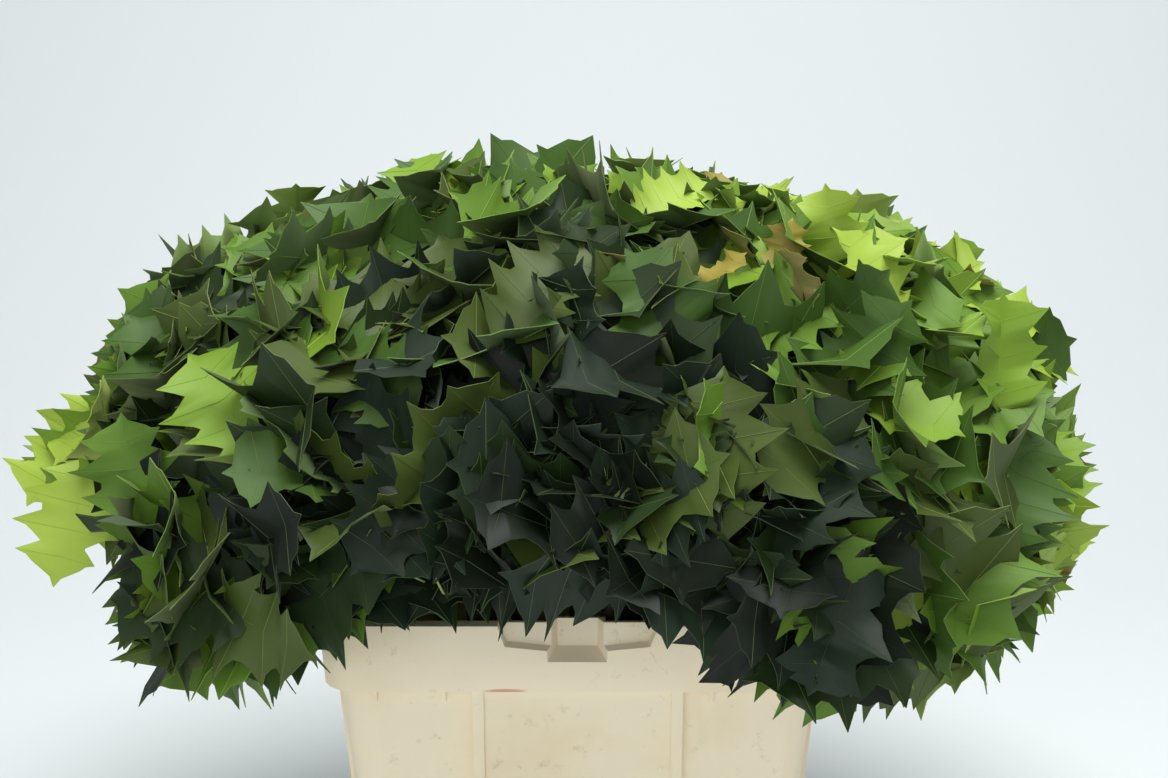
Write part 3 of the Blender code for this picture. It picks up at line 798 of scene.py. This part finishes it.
def leaf_material(name, top):
    material, shader = new_material(f"{name} leaf", LEAF_ROUGHNESS)
    tree = material.node_tree
    pale = [value + (PALE_TARGET - value) * PALE_SHARE for value in top]
    line = [value + (target - value) * LINE_SHARE for value, target in zip(top, LINE_TARGET)]
    shades = add_node(
        tree,
        "ShaderNodeGroup",
        {
            "Underside Share": add_node(tree, "ShaderNodeAttribute", attribute_name="under").outputs["Fac"],
            "Vein Share": add_node(tree, "ShaderNodeAttribute", attribute_name="vein").outputs["Fac"],
            "Top Side": srgb(*top),
            "Underside": srgb(*pale),
            "Vein": srgb(*line),
        },
        node_tree=shading,
    )
    tree.links.new(shades.outputs["Colour"], shader.inputs["Base Color"])
    shader.inputs["Specular IOR Level"].default_value = LEAF_SHINE
    return material


growth = leaf_tree()
sockets = {item.name: item.identifier for item in growth.interface.items_tree}
for name, points in leaf_points.items():
    mesh = bpy.data.meshes.new(f"leaves_{name}")
    mesh.from_pydata([foot for foot, _, _, _ in points], [], [])
    turns = mesh.attributes.new("turn", "FLOAT_VECTOR", "POINT")
    turns.data.foreach_set("vector", [value for _, turn, _, _ in points for value in turn])
    sizes = mesh.attributes.new("size", "FLOAT", "POINT")
    sizes.data.foreach_set("value", [length for _, _, length, _ in points])
    picks = mesh.attributes.new("kind", "INT", "POINT")
    picks.data.foreach_set("value", [kind for _, _, _, kind in points])
    leaves = bpy.data.objects.new(f"leaves_{name}", mesh)
    bpy.context.scene.collection.objects.link(leaves)
    modifier = leaves.modifiers.new("leaves", "NODES")
    modifier.node_group = growth
    modifier[sockets["Kinds"]] = kinds
    modifier[sockets["Length"]] = 1.0
    modifier[sockets["Surface"]] = leaf_material(name, COLOURS.get(name, YOUNG_COLOUR))
    apply_modifiers(leaves)
    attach(leaves, "root")
    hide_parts(*foliage_nodes)
for leaf in list(kinds.objects):
    bpy.data.objects.remove(leaf, do_unlink=True)
bpy.data.collections.remove(kinds)

# The studio: a pale floor that curves up into a backdrop, soft light from above and in front, and the
# camera a little above the crown, as in the photograph.
BACKDROP_AWAY = 0.8
COVE = 1.2
COVE_STEPS = 24
ROOM = 4.0
FLOOR_BELOW = 0.001
WALL_ROUGHNESS = 0.9
WALL_COLOUR = (224, 229, 229)
AIR_COLOUR = (0.90, 0.95, 1.0, 1.0)
AIR_STRENGTH = 0.42
# Each light's name, place, target, size and power.
LIGHTS = (
    ("above", (0.25, -0.35, 2.6), (0.0, 0.0, 0.4), 1.6, 62.0),
    ("front", (-0.9, -2.8, 1.4), (0.0, 0.0, 0.3), 1.8, 20.0),
    ("wall wash", (0.0, 0.1, 2.9), (0.0, BACKDROP_AWAY, 0.6), 2.4, 4.0),
)
LENS = 57.6
SENSOR_WIDTH = 36.0
CAMERA_PLACE = (0.005, -1.475, 0.845)
CAMERA_DOWN = 14
cove = [(-ROOM, -FLOOR_BELOW)]
for step in range(COVE_STEPS + 1):
    angle = step / COVE_STEPS * math.pi / 2
    cove.append((BACKDROP_AWAY + COVE * math.sin(angle), COVE * (1 - math.cos(angle)) - FLOOR_BELOW))
cove.append((BACKDROP_AWAY + COVE, ROOM))
backdrop = mesh_object(
    "backdrop",
    [(x, y, z) for y, z in cove for x in (-ROOM, ROOM)],
    [(2 * i, 2 * i + 1, 2 * i + 3, 2 * i + 2) for i in range(len(cove) - 1)],
)
wall_material, wall_shader = new_material("pale wall", WALL_ROUGHNESS)
wall_shader.inputs["Base Color"].default_value = srgb(*WALL_COLOUR)
backdrop.data.materials.append(wall_material)

for name, place, target, size, power in LIGHTS:
    light_data = bpy.data.lights.new(name, "AREA")
    light_data.size = size
    light_data.energy = power
    light = bpy.data.objects.new(name, light_data)
    light.location = place
    light.rotation_euler = (Vector(target) - Vector(place)).to_track_quat("-Z", "Y").to_euler()
    bpy.context.scene.collection.objects.link(light)
world = bpy.data.worlds.new("studio")
world.use_nodes = True
world.node_tree.nodes["Background"].inputs["Color"].default_value = AIR_COLOUR
world.node_tree.nodes["Background"].inputs["Strength"].default_value = AIR_STRENGTH
bpy.context.scene.world = world
bpy.context.scene.view_settings.view_transform = "Standard"

camera_data = bpy.data.cameras.new("camera")
camera_data.lens = LENS
camera_data.sensor_width = SENSOR_WIDTH
camera = bpy.data.objects.new("camera", camera_data)
camera.location = CAMERA_PLACE
camera.rotation_euler = (math.radians(90 - CAMERA_DOWN), 0.0, 0.0)
bpy.context.scene.collection.objects.link(camera)
bpy.context.scene.camera = camera
